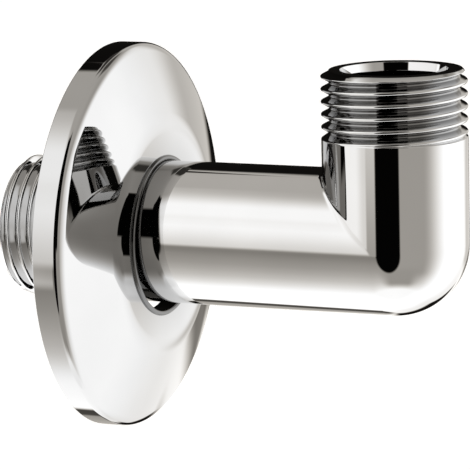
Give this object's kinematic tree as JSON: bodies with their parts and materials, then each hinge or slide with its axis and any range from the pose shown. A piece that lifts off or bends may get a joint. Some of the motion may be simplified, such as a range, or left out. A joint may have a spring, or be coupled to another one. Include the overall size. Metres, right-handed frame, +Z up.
{
  "type": "wall outlet elbow",
  "caption": "Chromed pipe elbow for a wall: threaded stub, straight arm through a loose domed rosette, mitred bend with a ball-shaped heel, upright threaded outlet with an open bore.",
  "frame": {"origin": "where the inlet axis goes through the wall plane, which is the back edge of the rosette", "axes": "+X out of the wall along the arm, +Z up along the outlet, +Y to the left of someone facing the wall"},
  "size_m": [0.0695, 0.057, 0.057],
  "materials": {
    "body_chrome": "polished chrome plate on brass",
    "rosette_chrome": "polished chrome plate on pressed brass"
  },
  "bodies": {
    "root": {"elbow_body": "body_chrome", "escutcheon": "rosette_chrome"}
  },
  "joints": []
}
